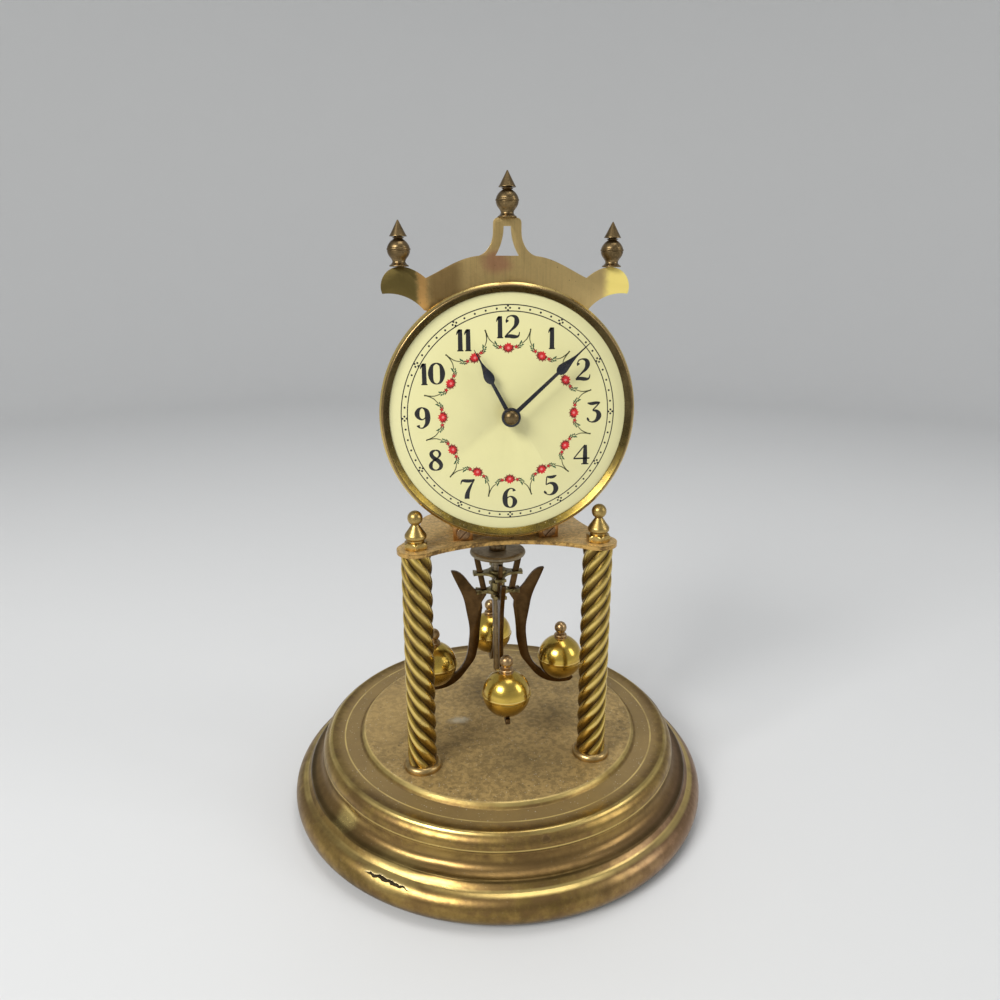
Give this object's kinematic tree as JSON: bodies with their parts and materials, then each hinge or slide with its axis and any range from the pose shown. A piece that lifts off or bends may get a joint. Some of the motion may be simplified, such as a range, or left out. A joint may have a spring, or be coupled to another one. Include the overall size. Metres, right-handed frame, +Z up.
{
  "type": "torsion pendulum mantel clock",
  "caption": "Free-standing torsion-pendulum clock: round spun brass base, twisted pillars, round dial under a scrolled fret with finials, and a hanging rotary pendulum with balls.",
  "frame": {"origin": "on the pendulum's axis at the centre of the base's footprint, on the surface that it stands on", "axes": "+Z up along the pendulum's axis, -Y towards the viewer of the dial, +X to the viewer's right"},
  "size_m": [0.1948, 0.1948, 0.2776],
  "materials": {
    "spun_brass": "aged lacquer, dusty",
    "pillar_brass": "polished, twisted",
    "bright_brass": "lacquered",
    "plate_brass": "brushed",
    "copper_brass": "tarnished, speckled",
    "antique_brass": "antique",
    "dark_bronze": "dark patina",
    "dark_steel": "plain",
    "blued_steel": "blued, glossy",
    "spring_steel": "bright",
    "dial_enamel": "satin cream enamel"
  },
  "bodies": {
    "frame": {"base_shell": "spun_brass", "deck_plate": "dark_steel", "bottom_plate": "dark_steel", "base_fasteners": "dark_steel", "pillar_left": "pillar_brass", "pillar_right": "pillar_brass", "pillar_foot_flanges": "bright_brass", "tie_rods": "dark_steel", "pillar_caps": "antique_brass", "platform": "copper_brass", "front_plate": "plate_brass", "back_plate": "plate_brass", "movement_pillars": "plate_brass", "movement_screws": "dark_steel", "small_screws": "dark_steel", "click_spring": "spring_steel", "anchor_cock": "plate_brass", "front_posts": "plate_brass", "dial": "dial_enamel", "bezel": "antique_brass", "fret": "bright_brass", "fret_finials": "antique_brass", "suspension_bracket": "plate_brass", "suspension_top_block": "plate_brass", "suspension_strip": "spring_steel"},
    "barrel_group": {"barrel": "plate_brass", "barrel_cap": "plate_brass", "mainspring": "spring_steel"},
    "winding_group": {"winding_arbor": "dark_steel", "ratchet_wheel": "dark_steel"},
    "click_pawl": {"click": "dark_steel"},
    "first_wheel_group": {"first_wheel": "plate_brass"},
    "second_wheel_group": {"second_wheel": "plate_brass"},
    "centre_group": {"centre_wheel": "plate_brass", "cannon_pinion": "dark_steel", "minute_hand": "blued_steel", "hand_nut": "bright_brass"},
    "escape_group": {"escape_wheel": "plate_brass"},
    "anchor_group": {"anchor": "dark_steel"},
    "minute_wheel_group": {"minute_wheel": "plate_brass"},
    "hour_group": {"hour_wheel": "plate_brass", "hour_hand": "blued_steel"},
    "fork_group": {"suspension_fork": "plate_brass"},
    "pendulum": {"suspension_bottom_block": "plate_brass", "pendulum_hook": "antique_brass", "pendulum_rod": "antique_brass", "pendulum_star": "antique_brass"},
    "regulator": {"regulating_disc": "antique_brass"},
    "star_nut_group": {"star_nut": "plate_brass"},
    "arm_right": {"pendulum_arm_right": "dark_bronze", "ball_right": "bright_brass"},
    "arm_rear": {"pendulum_arm_rear": "dark_bronze", "ball_rear": "bright_brass"},
    "arm_left": {"pendulum_arm_left": "dark_bronze", "ball_left": "bright_brass"},
    "arm_front": {"pendulum_arm_front": "dark_bronze", "ball_front": "bright_brass"},
    "leveller_front_left": {"levelling_screw_front_left": "plate_brass"},
    "leveller_front_right": {"levelling_screw_front_right": "plate_brass"},
    "leveller_rear": {"levelling_screw_rear": "plate_brass"}
  },
  "joints": [
    {"name": "centre_spin", "type": "hinge", "parent": "frame", "child": "centre_group", "pos_m": [0, 0, 0.18865], "axis": [0, 1, 0], "continuous": true},
    {"name": "second_spin", "type": "hinge", "parent": "frame", "child": "second_wheel_group", "pos_m": [-0.01304, 0, 0.1866], "axis": [0, 1, 0], "continuous": true},
    {"name": "first_spin", "type": "hinge", "parent": "frame", "child": "first_wheel_group", "pos_m": [-0.0126, 0, 0.1734], "axis": [0, 1, 0], "continuous": true},
    {"name": "barrel_spin", "type": "hinge", "parent": "frame", "child": "barrel_group", "pos_m": [0.0085, 0, 0.16775], "axis": [0, 1, 0], "continuous": true},
    {"name": "escape_spin", "type": "hinge", "parent": "frame", "child": "escape_group", "pos_m": [0, 0, 0.20165], "axis": [0, 1, 0], "continuous": true},
    {"name": "minute_wheel_spin", "type": "hinge", "parent": "frame", "child": "minute_wheel_group", "pos_m": [-0.00786, 0, 0.18314], "axis": [0, 1, 0], "continuous": true},
    {"name": "hour_spin", "type": "hinge", "parent": "frame", "child": "hour_group", "pos_m": [0, 0, 0.18865], "axis": [0, 1, 0], "continuous": true},
    {"name": "winding_spin", "type": "hinge", "parent": "frame", "child": "winding_group", "pos_m": [0.0085, 0, 0.16775], "axis": [0, 1, 0], "continuous": true},
    {"name": "click_lift", "type": "hinge", "parent": "frame", "child": "click_pawl", "pos_m": [0.0163, -0.0067, 0.17675], "axis": [0, -1, 0], "range_deg": [0, 8], "stiffness_Nm_per_rad": 0.002, "springref_deg": -5.73},
    {"name": "pendulum_swing", "type": "hinge", "parent": "frame", "child": "pendulum", "pos_m": [0, 0, 0.1285], "axis": [0, 0, 1], "range_deg": [-135, 135], "stiffness_Nm_per_rad": 0.00003},
    {"name": "fork_swing", "type": "hinge", "parent": "frame", "child": "fork_group", "pos_m": [0, 0, 0.2232], "axis": [0, 0, 1], "range_deg": [-7, 7]},
    {"name": "anchor_rock", "type": "hinge", "parent": "frame", "child": "anchor_group", "pos_m": [0, 0, 0.21349], "axis": [0, 1, 0], "range_deg": [-3.87, 3.87]},
    {"name": "regulator_turn", "type": "hinge", "parent": "pendulum", "child": "regulator", "pos_m": [0, 0, 0.1194], "axis": [0, 0, 1], "range_deg": [-720, 720]},
    {"name": "star_nut_lift", "type": "slide", "parent": "pendulum", "child": "star_nut_group", "axis": [0, 0, 1], "range_m": [-0.00151, 0.00151]},
    {"name": "arm_tilt_right", "type": "hinge", "parent": "pendulum", "child": "arm_right", "pos_m": [0.0072, 0, 0.1004], "axis": [0, -1, 0], "range_deg": [-1.97, 1.97]},
    {"name": "arm_tilt_rear", "type": "hinge", "parent": "pendulum", "child": "arm_rear", "pos_m": [0, 0.0072, 0.1004], "axis": [1, 0, 0], "range_deg": [-1.97, 1.97]},
    {"name": "arm_tilt_left", "type": "hinge", "parent": "pendulum", "child": "arm_left", "pos_m": [-0.0072, 0, 0.1004], "axis": [0, 1, 0], "range_deg": [-1.97, 1.97]},
    {"name": "arm_tilt_front", "type": "hinge", "parent": "pendulum", "child": "arm_front", "pos_m": [0, -0.0072, 0.1004], "axis": [-1, 0, 0], "range_deg": [-1.97, 1.97]},
    {"name": "level_front_left", "type": "slide", "parent": "frame", "child": "leveller_front_left", "axis": [0, 0, 1], "range_m": [-0.003, 0.003]},
    {"name": "level_front_right", "type": "slide", "parent": "frame", "child": "leveller_front_right", "axis": [0, 0, 1], "range_m": [-0.003, 0.003]},
    {"name": "level_rear", "type": "slide", "parent": "frame", "child": "leveller_rear", "axis": [0, 0, 1], "range_m": [-0.003, 0.003]}
  ],
  "couplings": [
    {"joint": "second_spin", "follows": "centre_spin", "ratio": -0.1},
    {"joint": "first_spin", "follows": "centre_spin", "ratio": 0.01},
    {"joint": "barrel_spin", "follows": "centre_spin", "ratio": -0.00083333},
    {"joint": "escape_spin", "follows": "centre_spin", "ratio": -12},
    {"joint": "minute_wheel_spin", "follows": "centre_spin", "ratio": -0.33333},
    {"joint": "hour_spin", "follows": "centre_spin", "ratio": 0.083333},
    {"joint": "fork_swing", "follows": "pendulum_swing", "ratio": 0.05},
    {"joint": "anchor_rock", "follows": "pendulum_swing", "ratio": 0.028309},
    {"joint": "star_nut_lift", "follows": "regulator_turn", "m_per_rad": -0.00011937},
    {"joint": "arm_tilt_right", "follows": "regulator_turn", "ratio": -0.0026639},
    {"joint": "arm_tilt_rear", "follows": "regulator_turn", "ratio": -0.0026639},
    {"joint": "arm_tilt_left", "follows": "regulator_turn", "ratio": -0.0026639},
    {"joint": "arm_tilt_front", "follows": "regulator_turn", "ratio": -0.0026639}
  ]
}
